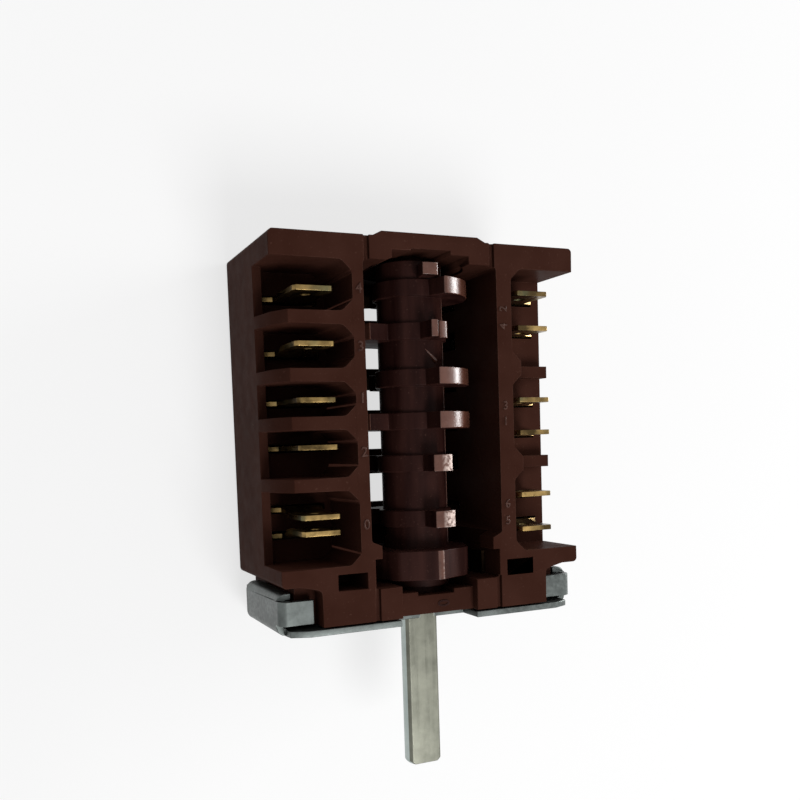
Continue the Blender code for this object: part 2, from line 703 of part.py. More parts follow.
def back_cutters():
    """Windows behind the drum, cores in the banks and the chamfers along both back edges."""
    made = []
    for number, (low, high) in enumerate(BACK_WINDOWS, 1):
        made.append(
            block(
                f"back_window_{number}",
                (-BACK_WINDOW_HALF_WIDTH, low, -CUT_PAST),
                (BACK_WINDOW_HALF_WIDTH, high, BACK_WALL + CUT_PAST),
            )
        )
    far = HOUSING_HALF_WIDTH - BACK_CORE_WALL
    near = CHAMBER_HALF_WIDTH + BACK_CORE_WALL
    pitch = (BANK_TOP - BANK_BASE) / BACK_CORE_COUNT
    edge = HOUSING_HALF_WIDTH
    for side, word in ((-1, "left"), (1, "right")):
        across = sorted((side * near, side * far))
        for number in range(BACK_CORE_COUNT):
            low = BANK_BASE + pitch * number + BACK_CORE_WALL / 2
            made.append(
                block(
                    f"{word}_back_core_{number + 1}",
                    (across[0], low, -CUT_PAST),
                    (across[1], low + pitch - BACK_CORE_WALL, BACK_CORE_DEPTH),
                )
            )
        triangle = [
            (side * (edge + CUT_PAST), -CUT_PAST),
            (side * (edge + CUT_PAST), BACK_CHAMFER + CUT_PAST),
            (side * (edge - BACK_CHAMFER - CUT_PAST), -CUT_PAST),
        ]
        made.append(prism(f"{word}_back_chamfer", triangle, -CUT_PAST, HOUSING_TOP + CUT_PAST, "XZ"))
    return made


def foot_end(root, disc):
    """How far along Y a terminal's foot runs: past its disc, and never shorter than a bend needs."""
    way = 1 if disc >= root else -1
    reach = max(abs(disc - root) + FOOT_PAST_DISC, SHORTEST_FOOT)
    return root + way * reach


def contact_cutters():
    """For each disc, the slots that hold its two terminals and the passage of its spring."""
    made = []
    half = SPRING_WIDTH / 2 + 2 * RUNNING_GAP
    slot = BRASS / 2 + SEAT_GAP
    ceiling = RIGHT_FOOT_HEIGHT + slot
    floor = LEFT_FOOT_HEIGHT - slot
    passage_near = CHAMBER_HALF_WIDTH - CUT_PAST
    for side, word, roots, foot_low, pocket_floor in (
        (-1, "left", LEFT_ROOTS, LEFT_FOOT_HEIGHT, LEFT_FLOOR),
        (1, "right", RIGHT_ROOTS, RIGHT_FOOT_HEIGHT, RIGHT_FLOOR),
    ):
        for number, (root, disc) in enumerate(zip(roots, DISC_LEVELS), 1):
            riser = sorted((side * (SHOULDER_NEAR - SEAT_GAP), side * (SHOULDER_FAR + SEAT_GAP)))
            made.append(
                block(
                    f"{word}_riser_slot_{number}",
                    (riser[0], root - slot, foot_low - slot),
                    (riser[1], root + slot, pocket_floor + CUT_PAST),
                )
            )
            run = sorted((root, foot_end(root, disc)))
            foot = sorted((side * (FOOT_NEAR - SEAT_GAP), side * (SHOULDER_FAR + SEAT_GAP)))
            made.append(
                block(
                    f"{word}_foot_slot_{number}",
                    (foot[0], run[0] - slot, foot_low - slot),
                    (foot[1], run[1] + SEAT_GAP, foot_low + slot + FOOT_BEND),
                )
            )
            passage = sorted((side * passage_near, side * (CONTACT_REACH + half + SPRING_WIDTH)))
            made.append(
                block(
                    f"{word}_spring_passage_{number}",
                    (passage[0], disc - half, floor),
                    (passage[1], disc + half, ceiling),
                )
            )
    return made


def make_housing():
    housing = prism("housing", housing_outline(), 0.0, FRONT, "XY", THERMOSET)
    cutters = bank_cutters() + chamber_cutters() + groove_cutters()
    cutters += base_cutters() + back_cutters() + contact_cutters()
    combine_all(housing, cutters, "DIFFERENCE")
    return housing


# Mounting plate


def make_plate():
    """One sheet: the flat, a lug folded up on each side, hooked over the housing's base, and a
    tongue folded round the front of each lug."""
    front = FRONT - PLATE_MARGIN
    bend_line = LUG_INSIDE - LUG_BEND
    half = [
        (PLATE_NOTCH_HALF_WIDTH, front - PLATE_NOTCH_DEPTH),
        (PLATE_NOTCH_HALF_WIDTH, front),
        (PLATE_HALF_WIDTH - PLATE_CORNER_ACROSS, front),
        (bend_line, front - PLATE_CORNER_DEEP),
        (bend_line, PLATE_MARGIN),
    ]
    outline = half + [(-across, up) for across, up in reversed(half)]
    plate = prism("mounting_plate", outline, PLATE_OUTSIDE, PLATE_FACE, "XZ", ZINC_STEEL)
    middle = PLATE_FACE - SHEET / 2
    lug_front = FRONT - LUG_FRONT_DROP
    lug_end = lug_front - SHEET - LUG_RELIEF
    for side, word in ((-1, "left"), (1, "right")):
        path = [
            (side * (LUG_INSIDE - LUG_BEND - SHEET), middle),
            (side * LUG_INSIDE, middle),
            (side * LUG_INSIDE, LUG_TOP - SHEET / 2),
            (side * (LUG_INSIDE - LUG_HOOK), LUG_TOP - SHEET / 2),
        ]
        rows = [(across, along, LUG_BACK, lug_end) for across, along in path]
        lug = sheet_strip(f"{word}_lug", bent_rows(rows, LUG_BEND), SHEET, "XY")
        combine(plate, lug, "UNION")
        path = [
            (side * LUG_INSIDE, lug_end - 2 * SHEET),
            (side * LUG_INSIDE, lug_front - SHEET / 2),
            (side * (LUG_INSIDE + SHEET / 2 - TONGUE_WIDTH), lug_front - SHEET / 2),
        ]
        rows = [(across, up, TONGUE_LOW, TONGUE_HIGH) for across, up in path]
        tongue = sheet_strip(f"{word}_tongue", bent_rows(rows, LUG_BEND), SHEET, "XZ")
        combine(plate, tongue, "UNION")
        across = side * SCREW_PITCH / 2
        collar = rod(
            f"{word}_collar", COLLAR_RADIUS, middle, PLATE_FACE + COLLAR_HEIGHT, across=across,
            steps=SMALL_ROUND_STEPS * 2,
        )
        combine(plate, collar, "UNION")
        core = rod(
            f"{word}_screw_core", SCREW_CORE_RADIUS, PLATE_OUTSIDE - CUT_PAST,
            PLATE_FACE + COLLAR_HEIGHT + CUT_PAST, across=across, steps=SMALL_ROUND_STEPS * 2,
        )
        combine(plate, core, "DIFFERENCE")
    hole = rod("shaft_hole", PLATE_HOLE_RADIUS, PLATE_OUTSIDE - CUT_PAST, PLATE_FACE + CUT_PAST)
    combine(plate, hole, "DIFFERENCE")
    return plate


# Drum. Its outlines are drawn round the joint axis, with 0 degrees at the open front.


def on_circle(radius, degrees):
    """A point of a drum outline in the drum's own frame."""
    return (radius * sin(radians(degrees)), -radius * cos(radians(degrees)))


def arc(radius, first, last):
    count = max(1, round((last - first) / ARC_STEP))
    return [on_circle(radius, first + (last - first) * i / count) for i in range(count + 1)]


def disc_outline(lobes):
    """A cam disc: its base circle, raised to the lobe radius between the angles given."""
    points = []
    for i, (first, last, drop) in enumerate(lobes):
        points += arc(LOBE_RADIUS - drop, first, last)
        next_first = lobes[(i + 1) % len(lobes)][0] + (360 if i + 1 == len(lobes) else 0)
        ramp = min(LOBE_RAMP, (next_first - last) / 3)
        points += arc(DISC_BASE_RADIUS, last + ramp, next_first - ramp)
    return points


def index_outline():
    """A wheel with one flat for each position, between narrow crests."""
    pitch = 360 / INDEX_POSITIONS
    points = []
    for i in range(INDEX_POSITIONS):
        crest = INDEX_PHASE + pitch * i
        points.append(on_circle(INDEX_RADIUS, crest - INDEX_CREST / 2))
        points.append(on_circle(INDEX_RADIUS, crest + INDEX_CREST / 2))
    return points


def turned(name, profile, steps, material=None, parent=DRUM_FRAME):
    """A profile of (radius, level) from top to bottom, turned about the frame's Z."""
    bm = bmesh.new()
    verts = [bm.verts.new((radius, 0.0, level)) for radius, level in profile]
    for pair in zip(verts, verts[1:]):
        bm.edges.new(pair)
    mesh = bpy.data.meshes.new(name)
    bm.to_mesh(mesh)
    bm.free()
    piece = add_object(name, mesh, material, parent)
    screw = piece.modifiers.new("turn", "SCREW")
    screw.axis = "Z"
    screw.steps = steps
    screw.render_steps = steps
    screw.use_merge_vertices = True
    screw.merge_threshold = 1e-6
    screw.use_smooth_shade = True
    return piece


def shaft_outline(grow):
    """The shaft's D section in the drum's frame, its flat towards the open front."""
    radius = SHAFT_RADIUS + grow
    flat = SHAFT_ACROSS_FLAT - SHAFT_RADIUS + grow
    half = atan2(sqrt(radius**2 - flat**2), flat) * 180 / pi
    return arc(radius, half, 360 - half)


def make_camshaft():
    journal_end = JOURNAL_TOP - JOURNAL_LENGTH
    profile = [
        (0.0, HUB_TOP + PIVOT_LENGTH),
        (PIVOT_RADIUS, HUB_TOP + PIVOT_LENGTH),
        (PIVOT_RADIUS, HUB_TOP),
        (HUB_RADIUS, HUB_TOP),
        (HUB_RADIUS, JOURNAL_TOP),
        (JOURNAL_RADIUS, JOURNAL_TOP),
        (JOURNAL_RADIUS, journal_end),
        (0.0, journal_end),
    ]
    camshaft = turned("camshaft", profile, ROUND_STEPS, DRUM_PLASTIC)
    for number, (level, lobes) in enumerate(zip(DISC_LEVELS, DISC_LOBES), 1):
        low = level - DISC_WIDTH / 2
        outline = disc_outline(lobes)
        disc = prism(f"cam_disc_{number}", outline, low, low + DISC_WIDTH, parent=DRUM_FRAME)
        combine(camshaft, disc, "UNION")
    wheel = prism("index_wheel", index_outline(), INDEX_LOW, INDEX_HIGH, parent=DRUM_FRAME)
    combine(camshaft, wheel, "UNION")
    root = [on_circle(HUB_RADIUS - CUT_PAST, side * TOOTH_HALF_ANGLE) for side in (1, -1)]
    tooth = root + arc(TOOTH_RADIUS, -TOOTH_HALF_ANGLE, TOOTH_HALF_ANGLE)
    mark = prism("top_tooth", tooth, TOOTH_LOW, TOOTH_LOW + TOOTH_HEIGHT, parent=DRUM_FRAME)
    combine(camshaft, mark, "UNION")
    bore = prism(
        "shaft_bore", shaft_outline(SEAT_GAP), journal_end - CUT_PAST,
        journal_end + SHAFT_IN_DRUM + SEAT_GAP, parent=DRUM_FRAME,
    )
    combine(camshaft, bore, "DIFFERENCE")
    return camshaft


def make_shaft():
    top = JOURNAL_TOP - JOURNAL_LENGTH + SHAFT_IN_DRUM
    profile = [
        (0.0, top),
        (SHAFT_RADIUS, top),
        (SHAFT_RADIUS, SHAFT_END + SHAFT_CHAMFER),
        (SHAFT_RADIUS - SHAFT_CHAMFER, SHAFT_END),
        (0.0, SHAFT_END),
    ]
    shaft = turned("drive_shaft", profile, ROUND_STEPS, ZINC_STEEL)
    flat = SHAFT_ACROSS_FLAT - SHAFT_RADIUS
    past = SHAFT_RADIUS + CUT_PAST
    cut = block(
        "shaft_flat",
        (-past, -past, SHAFT_END - CUT_PAST),
        (past, -flat, top + CUT_PAST),
        parent=DRUM_FRAME,
    )
    combine(shaft, cut, "DIFFERENCE")
    return shaft


# Terminals, springs and contacts


def make_terminal(name, side, tab, root, disc):
    """One stamping: the tab, a jog down to the shoulders in the pocket's floor, and a foot folded
    over to the level of the disc."""
    tip = FRONT - TAB_TIP_DROP
    shoulder = (LEFT_FLOOR if side < 0 else RIGHT_FLOOR) + SHOULDER_RISE
    foot = LEFT_FOOT_HEIGHT if side < 0 else RIGHT_FOOT_HEIGHT
    half = TAB_WIDTH / 2

    def row(level, height, near, far):
        low, high = sorted((side * near, side * far))
        return (level, height, low, high)

    near, far = TAB_CENTRE - half, TAB_CENTRE + half
    rows = [
        row(tab, tip, near + TAB_POINT_ACROSS, far - TAB_POINT_ACROSS),
        row(tab, tip - TAB_POINT, near, far),
        row(tab, shoulder + 2 * JOG_LENGTH, near, far),
        row(root, shoulder + JOG_LENGTH, near, far),
        row(root, shoulder + BRASS, near, far),
        row(root, shoulder, SHOULDER_NEAR, SHOULDER_FAR),
        row(root, shoulder - SHOULDER_LENGTH, SHOULDER_NEAR, SHOULDER_FAR),
        row(root, shoulder - SHOULDER_LENGTH - BRASS, RISER_NEAR, SHOULDER_FAR),
    ]
    finish = foot_end(root, disc)
    way = 1 if finish > root else -1
    corner = row(root, foot, RISER_NEAR, SHOULDER_FAR)
    narrow = row(root + way * (FOOT_BEND + SEAT_GAP), foot, RISER_NEAR, SHOULDER_FAR)
    wide = row(root + way * (2 * FOOT_BEND), foot, FOOT_NEAR, FOOT_FAR)
    end = row(finish, foot, FOOT_NEAR, FOOT_FAR)
    bend = bent_rows([rows[-1], corner, narrow, wide, end], FOOT_BEND)
    terminal = sheet_strip(name, rows + bend[1:], BRASS, "YZ", BRASS_SHEET)
    hole = rod(
        f"{name}_hole", TAB_HOLE_RADIUS, tab - BRASS - CUT_PAST, tab + BRASS + CUT_PAST,
        across=side * TAB_CENTRE, height=tip - TAB_HOLE_DROP, steps=SMALL_ROUND_STEPS,
    )
    combine(terminal, hole, "DIFFERENCE")
    return terminal


def make_contact_spring(name, disc):
    """A leaf from the left terminal's foot, past the back of the drum, to the right contact. Its
    nose rides on the disc."""
    low = disc - SPRING_WIDTH / 2
    high = disc + SPRING_WIDTH / 2
    crest = SPRING_LEVEL + SPRING_NOSE_RISE
    nose = SPRING_NOSE_HALF_WIDTH
    rows = [
        (-RISER_NEAR + 2 * RUNNING_GAP, SPRING_LEVEL, low, high),
        (-nose - SPRING_NOSE_RISE, SPRING_LEVEL, low, high),
        (-nose / 2, crest, low, high),
        (nose / 2, crest, low, high),
        (nose + SPRING_NOSE_RISE, SPRING_LEVEL, low, high),
        (CONTACT_REACH + CONTACT_RADIUS + SPRING_SHEET, SPRING_LEVEL, low, high),
    ]
    return sheet_strip(name, bent_rows(rows, FOOT_BEND), SPRING_SHEET, "XZ", SPRING_BRONZE)


def make_circuit(number, disc):
    """The terminals, spring and contacts of one disc."""
    i = number - 1
    make_terminal(f"left_terminal_{number}", -1, LEFT_TABS[i], LEFT_ROOTS[i], disc)
    make_terminal(f"right_terminal_{number}", 1, RIGHT_TABS[i], RIGHT_ROOTS[i], disc)
    make_contact_spring(f"contact_spring_{number}", disc)
    place = (CONTACT_REACH, disc)
    for word, low in (("moving", MOVING_CONTACT_BASE), ("fixed", FIXED_CONTACT_BASE)):
        name = f"{word}_contact_{number}"
        upright_disc(name, CONTACT_RADIUS, place, low, low + CONTACT_HEIGHT, SILVER)


def make_index_spring(name, side):
    """A leaf against the wall of the index chamber, whose bump rests on a flat of the wheel."""
    low = INDEX_CHAMBER_FLOOR + SEAT_GAP
    high = low + INDEX_SPRING_WIDTH
    pitch = 360 / INDEX_POSITIONS
    flat = INDEX_PHASE * side + pitch * 2.5
    face = INDEX_RADIUS * cos(radians((pitch - INDEX_CREST) / 2))
    reach = face + RUNNING_GAP + INDEX_SHEET / 2
    tip = (reach * sin(radians(flat)), AXIS_HEIGHT + reach * cos(radians(flat)))
    wall = INDEX_CHAMBER_HALF_WIDTH - SEAT_GAP - INDEX_SHEET / 2
    bump = INDEX_BUMP_HALF_WIDTH
    path = [
        (wall, AXIS_HEIGHT + INDEX_SPRING_REACH_FRONT),
        (wall, tip[1] + bump),
        tip,
        (wall, tip[1] - bump),
        (wall, AXIS_HEIGHT - INDEX_SPRING_REACH_BACK),
    ]
    rows = [(side * across, up, low, high) for across, up in path]
    return sheet_strip(name, bent_rows(rows, FOOT_BEND), INDEX_SHEET, "XZ", SPRING_BRONZE)


make_housing()
make_plate()
make_camshaft()
make_shaft()
for circuit, disc_level in enumerate(DISC_LEVELS, 1):
    make_circuit(circuit, disc_level)
make_index_spring("left_index_spring", -1)
make_index_spring("right_index_spring", 1)
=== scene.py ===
# %% [markdown]
# # The rotary switch of a cooker
#
# This lesson dresses a switch that sits behind the knob of an oven. The solids come from a CAD
# model: a brown moulded housing, a drum with six cams, brass tab terminals and a folded steel
# plate. Here they get their finishes, the raised numbers beside the terminals and the light.
# Everything is in metres. X runs across the two banks of terminals, Y along the shaft, and Z from
# the housing's back, on which the switch lies, up to its open front.

# %% Load the model
from math import cos, radians, sin

import bmesh
import bpy
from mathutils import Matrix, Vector


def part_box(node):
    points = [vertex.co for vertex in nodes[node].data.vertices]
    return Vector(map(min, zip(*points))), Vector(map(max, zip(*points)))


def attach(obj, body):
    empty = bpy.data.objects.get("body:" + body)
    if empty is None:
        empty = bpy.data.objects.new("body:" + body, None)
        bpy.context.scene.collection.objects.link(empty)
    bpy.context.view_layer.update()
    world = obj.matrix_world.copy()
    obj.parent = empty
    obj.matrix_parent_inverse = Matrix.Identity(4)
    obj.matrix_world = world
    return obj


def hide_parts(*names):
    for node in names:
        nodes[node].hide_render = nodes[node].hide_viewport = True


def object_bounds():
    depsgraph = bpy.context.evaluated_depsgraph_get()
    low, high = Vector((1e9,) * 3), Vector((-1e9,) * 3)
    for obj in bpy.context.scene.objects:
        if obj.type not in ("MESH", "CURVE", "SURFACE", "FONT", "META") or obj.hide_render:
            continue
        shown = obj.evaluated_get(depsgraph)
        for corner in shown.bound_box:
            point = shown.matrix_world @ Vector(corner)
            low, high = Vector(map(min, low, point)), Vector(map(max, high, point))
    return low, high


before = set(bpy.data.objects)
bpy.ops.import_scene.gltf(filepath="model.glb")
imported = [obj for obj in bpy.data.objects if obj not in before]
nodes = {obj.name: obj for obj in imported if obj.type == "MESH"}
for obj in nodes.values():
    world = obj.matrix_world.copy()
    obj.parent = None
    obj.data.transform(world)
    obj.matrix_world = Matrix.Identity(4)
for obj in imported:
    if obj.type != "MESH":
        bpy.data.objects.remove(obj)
cad_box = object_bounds()
print("nodes:", len(nodes), "size in mm:", [round(1000 * s, 1) for s in cad_box[1] - cad_box[0]])

# %% [markdown]
# ## Places that the details share
#
# A raised number sits on the front face of the housing, so its place follows from that face.
# Levels are measured along the shaft from the face that meets the steel plate, as on a drawing,
# and one function turns a level into a place in the scene. The drum's axis isn't stored in the
# model, but the first contact spring ends just below a cam's lobe, which gives the axis.

# %% Reference faces
MM = 0.001
housing_low, housing_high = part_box("housing")
FRONT = housing_high.z
BASE_LEVEL = housing_low.y
LOBE_RADIUS = 9.4 * MM
SPRING_GAP = 0.3 * MM
AXIS_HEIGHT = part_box("contact_spring_1")[1].z + SPRING_GAP + LOBE_RADIUS
print("front face at", round(FRONT / MM, 2), "mm, base at", round(BASE_LEVEL / MM, 2), "mm")
print("axis at", round(AXIS_HEIGHT / MM, 2), "mm")


def level(mm):
    """The Y of a level that is given in millimetres above the housing's base."""
    return BASE_LEVEL + mm * MM


# %% [markdown]
# ## The camera
#
# The photograph looks down on the open front from the left bank's side. The place, the turn and
# the lens were fitted to the edges of the housing. The lens is shifted upwards a little, because
# the photograph's middle isn't where its lens points.

# %% Camera
CAMERA_PLACE = (-63.7 * MM, 10.5 * MM, 152.9 * MM)
CAMERA_TURN = (-3.33, -24.45, -2.01)
CAMERA_LENS = 40.88
CAMERA_SHIFT = (-0.004, 0.139)

camera_data = bpy.data.cameras.new("camera")
camera_data.sensor_width = 36.0
camera_data.lens = CAMERA_LENS
camera_data.shift_x, camera_data.shift_y = CAMERA_SHIFT
camera_data.clip_start = 0.005
camera_data.clip_end = 10.0
camera = bpy.data.objects.new("camera", camera_data)
camera.location = CAMERA_PLACE
camera.rotation_euler = [radians(angle) for angle in CAMERA_TURN]
bpy.context.scene.collection.objects.link(camera)
bpy.context.scene.camera = camera
print("camera", [round(c / MM, 1) for c in camera.location], "lens", camera_data.lens)

# %% [markdown]
# ## Small helpers for materials
#
# Every finish is a Principled shader fed by a few noise patterns on Object coordinates. Those
# coordinates are metres, so a scale of 1000 makes spots of about a millimetre. Small helpers keep
# the node trees short: they add a node, a noise, a ramp, a colour blend, a bump, or a value that
# finds the sharp edges.

# %% Material helpers


def add_node(tree, kind, **values):
    """Adds a node; a value is set on the node itself or, where there is one, on its socket."""
    node = tree.nodes.new(kind)
    for key, value in values.items():
        if hasattr(node, key):
            setattr(node, key, value)
        else:
            node.inputs[key.replace("_", " ")].default_value = value
    return node


def new_finish(name, roughness, metallic=0.0):
    """A material with its Principled shader and its Object coordinates ready."""
    material = bpy.data.materials.new(name)
    material.use_nodes = True
    tree = material.node_tree
    shader = tree.nodes["Principled BSDF"]
    shader.inputs["Roughness"].default_value = roughness
    shader.inputs["Metallic"].default_value = metallic
    place = add_node(tree, "ShaderNodeTexCoord").outputs["Object"]
    return material, tree, shader, place


def noise(tree, place, scale, detail=3.0, stretch=(1, 1, 1), rough=0.5):
    """A noise value from 0 to 1, stretched along an axis where its scale is small."""
    mapping = add_node(tree, "ShaderNodeMapping")
    mapping.inputs["Scale"].default_value = stretch
    tree.links.new(place, mapping.inputs["Vector"])
    spots = add_node(tree, "ShaderNodeTexNoise", Scale=scale, Detail=detail, Roughness=rough)
    tree.links.new(mapping.outputs["Vector"], spots.inputs["Vector"])
    return spots.outputs["Fac"]


def ramp(tree, value, stops):
    """A colour or a grey for each value; stops are (position, colour)."""
    blend = add_node(tree, "ShaderNodeValToRGB")
    band = blend.color_ramp
    while len(band.elements) < len(stops):
        band.elements.new(0.5)
    for element, (position, colour) in zip(band.elements, stops):
        element.position = position
        element.color = (*colour, 1.0)
    tree.links.new(value, blend.inputs["Fac"])
    return blend.outputs["Color"]


def grey(value):
    """A colour without a tint."""
    return (value, value, value)


def mix(tree, first, second, share):
    """Colours first and second, blended by a share that is a number or a value."""
    blend = add_node(tree, "ShaderNodeMix", data_type="RGBA")
    for socket, source in ((6, first), (7, second), (0, share)):
        if isinstance(source, bpy.types.NodeSocket):
            tree.links.new(source, blend.inputs[socket])
        elif isinstance(source, tuple):
            blend.inputs[socket].default_value = (*source, 1.0)
        else:
            blend.inputs[socket].default_value = source
    return blend.outputs[2]


def bump(tree, shader, height, depth, strength=1.0):
    """Raises the surface by a height pattern, at most depth metres."""
    node = add_node(tree, "ShaderNodeBump", Strength=strength, Distance=depth)
    tree.links.new(height, node.inputs["Height"])
    tree.links.new(node.outputs["Normal"], shader.inputs["Normal"])


def edge_mask(tree, radius, low=0.02, high=0.25):
    """A value that is 1 along sharp edges, found by how far a rounded edge would turn the
    normal, and 0 on flat ground."""
    rounded = add_node(tree, "ShaderNodeBevel", samples=6, Radius=radius)
    true_normal = add_node(tree, "ShaderNodeNewGeometry").outputs["Normal"]
    same = add_node(tree, "ShaderNodeVectorMath", operation="DOT_PRODUCT")
    tree.links.new(rounded.outputs["Normal"], same.inputs[0])
    tree.links.new(true_normal, same.inputs[1])
    return ramp(tree, same.outputs["Value"], [(1 - high, grey(1.0)), (1 - low, grey(0.0))])


# %% [markdown]
# ## Brown moulded plastic
#
# The housing is a thermoset: a very dark reddish brown with a fine matt skin, a slightly uneven
# tone from the flow in the mould, and paler lines along its edges, partly rubbed by handling and
# partly a painted highlight where a rounded edge would catch the light. The tone comes from a
# broad noise, the skin from a fine one in the bump, and the paler edges from the Bevel node, which
# works on any mesh. Such plastic reflects little when it is seen from above, so its specular level
# is low: otherwise the white surroundings would lay a grey veil over it. The drum is of a smoother
# grade with long flow marks, and the rims of its cams are burnished, with a lighter colour that is
# partly a painted highlight.

# %% Housing and drum plastic


def brown_plastic(
    name, dark, light, edge, roughness, skin, specular, flow_scale, streak=1.0
):
    """A moulded plastic: two tones, specks, paler edges (partly rubbed, partly a painted highlight)
    and a fine skin. A streak below 1 draws the flow of the two tones out along Y."""
    material, tree, shader, place = new_finish(name, roughness)
    shader.inputs["Specular IOR Level"].default_value = specular
    flow = noise(tree, place, flow_scale, 4.0, (1, streak, 1))
    colour = ramp(tree, flow, [(0.3, dark), (0.7, light)])
    specks = noise(tree, place, 2600.0, 2.0)
    dust = ramp(tree, specks, [(0.66, grey(0.0)), (0.78, grey(0.3))])
    colour = mix(tree, colour, edge, dust)
    scuffs = ramp(tree, noise(tree, place, 900.0, 5.0), [(0.35, grey(0.25)), (0.65, grey(1.0))])
    # Paler edges: partly rubbed by handling, partly a painted highlight along them.
    rubbed_and_glint = mix(tree, grey(0.0), scuffs, edge_mask(tree, radius=0.12 * MM))
    colour = mix(tree, colour, edge, rubbed_and_glint)
    tree.links.new(colour, shader.inputs["Base Color"])
    sheen = ramp(tree, noise(tree, place, 420.0, 3.0), [
        (0.25, grey(roughness - 0.06)), (0.75, grey(roughness + 0.08)),
    ])
    tree.links.new(sheen, shader.inputs["Roughness"])
    bump(tree, shader, noise(tree, place, 3800.0, 2.0), skin, 0.6)
    return material


housing_plastic = brown_plastic(
    "housing_plastic",
    dark=(0.036, 0.0128, 0.0085), light=(0.047, 0.018, 0.0125), edge=(0.13, 0.066, 0.05),
    roughness=0.42, skin=0.02 * MM, specular=0.005, flow_scale=160.0,
)
drum_plastic = brown_plastic(
    "drum_plastic",
    dark=(0.012, 0.0035, 0.003), light=(0.037, 0.0135, 0.0108), edge=(0.17, 0.09, 0.07),
    roughness=0.42, skin=0.012 * MM, specular=0.045, flow_scale=480.0, streak=0.1,
)
# Lighter than the drum: partly burnished, partly a painted highlight on the rims.
highlit_rim_plastic = brown_plastic(
    "burnished_highlit_rim",
    dark=(0.075, 0.026, 0.016), light=(0.12, 0.048, 0.032), edge=(0.26, 0.16, 0.13),
    roughness=0.25, skin=0.02 * MM, specular=0.36, flow_scale=500.0,
)
# The numbers are lighter than the housing: a painted glint on their raised strokes.
glinting_number_plastic = brown_plastic(
    "raised_number",
    dark=(0.035, 0.012, 0.008), light=(0.085, 0.042, 0.032), edge=(0.07, 0.032, 0.024),
    roughness=0.3, skin=0.006 * MM, specular=0.12, flow_scale=1500.0,
)
print("plastics:", [m.name for m in (housing_plastic, drum_plastic, highlit_rim_plastic, glinting_number_plastic)])

# %% [markdown]
# The rims of the narrow lobes are pale on their right half, partly rubbed where each spring drops
# off and partly a painted highlight. Their finish is the burnished one again, with pale specks that
# grow denser along X.

# %% Rubbed rim plastic with a painted highlight
RUBBED_HIGHLIT_FROM = 0.5 * MM
RUBBED_HIGHLIT_TO = 1.7 * MM
RUBBED_HIGHLIGHT_TONE = (0.72, 0.58, 0.52)

rubbed_highlit_plastic = highlit_rim_plastic.copy()
rubbed_highlit_plastic.name = "rubbed_highlit_rim"
tree = rubbed_highlit_plastic.node_tree
shader = tree.nodes["Principled BSDF"]
place = tree.nodes["Texture Coordinate"].outputs["Object"]
parts = add_node(tree, "ShaderNodeSeparateXYZ")
tree.links.new(place, parts.inputs[0])
reach = add_node(tree, "ShaderNodeMapRange", From_Min=RUBBED_HIGHLIT_FROM, From_Max=RUBBED_HIGHLIT_TO)
tree.links.new(parts.outputs["X"], reach.inputs["Value"])
frost_and_glint = ramp(tree, noise(tree, place, 1900.0, 4.0), [(0.38, grey(0.12)), (0.56, grey(1.0))])
share = mix(tree, grey(0.0), frost_and_glint, reach.outputs["Result"])
tone = shader.inputs["Base Color"].links[0].from_socket
tree.links.new(mix(tree, tone, RUBBED_HIGHLIGHT_TONE, share), shader.inputs["Base Color"])
print("rubbed rims from", RUBBED_HIGHLIT_FROM / MM, "to", RUBBED_HIGHLIT_TO / MM, "mm across")

# %% [markdown]
# ## Brass, bronze and silver
#
# The terminals are stamped from brass strip. In use the brass has gone brown and a little green,
# and its cut edges are brighter, partly bare metal and partly a painted glint. The grain of the
# rolled strip runs along the tab, so the noise is stretched along Z. The springs are of a very dark
# bronze and the contacts of a dull silver, partly tarnish and partly painted shade of the chamber.

# %% Metal strip


def strip_metal(name, bright, dull, green, edge, roughness, grain=(1, 1, 0.08)):
    """A rolled strip: tarnish in clouds, a green film in places, brighter cut edges (partly bare
    metal, partly a painted glint) and grain.
    """
    material, tree, shader, place = new_finish(name, roughness, 1.0)
    tarnish = ramp(tree, noise(tree, place, 300.0, 5.0), [(0.38, dull), (0.66, bright)])
    spots = ramp(tree, noise(tree, place, 1500.0, 3.0), [(0.6, grey(0.0)), (0.75, grey(0.5))])
    tarnish = mix(tree, tarnish, dull, spots)
    film = ramp(tree, noise(tree, place, 190.0, 3.0), [(0.52, grey(0.0)), (0.66, grey(0.6))])
    tarnish = mix(tree, tarnish, green, film)
    # Brighter edges: partly bare metal, partly a painted glint.
    colour = mix(tree, tarnish, edge, edge_mask(tree, radius=0.09 * MM))
    tree.links.new(colour, shader.inputs["Base Color"])
    sheen = ramp(tree, noise(tree, place, 900.0, 4.0, grain), [
        (0.3, grey(roughness - 0.08)), (0.7, grey(roughness + 0.12)),
    ])
    tree.links.new(sheen, shader.inputs["Roughness"])
    bump(tree, shader, noise(tree, place, 5000.0, 2.0, grain), 0.006 * MM, 0.5)
    return material


brass = strip_metal(
    "stamped_brass", bright=(0.36, 0.24, 0.09), dull=(0.06, 0.04, 0.016),
    green=(0.1, 0.11, 0.06), edge=(0.6, 0.48, 0.25), roughness=0.3,
)
# Very dark for bronze: partly tarnish, partly painted shade of the chamber.
shaded_bronze = strip_metal(
    "spring_bronze", bright=(0.045, 0.026, 0.014), dull=(0.02, 0.012, 0.007),
    green=(0.03, 0.026, 0.015), edge=(0.07, 0.045, 0.026), roughness=0.4, grain=(0.08, 1, 1),
)
# Dull for silver: partly tarnish, partly painted shade of the chamber.
shaded_silver = strip_metal(
    "shaded_contact_silver", bright=(0.3, 0.3, 0.28), dull=(0.14, 0.135, 0.12),
    green=(0.2, 0.2, 0.19), edge=(0.4, 0.4, 0.38), roughness=0.34,
)
print("strip metals:", brass.name, shaded_bronze.name, shaded_silver.name)

# %% [markdown]
# ## Zinc-plated steel
#
# Zinc plate is a mid grey with cloudy patches and a faint green cast, and the drawn shaft has
# fine lines along its length. All three finishes share one function: the patches come from a
# broad noise, the lines from a noise stretched along the direction of drawing.

# %% Steel


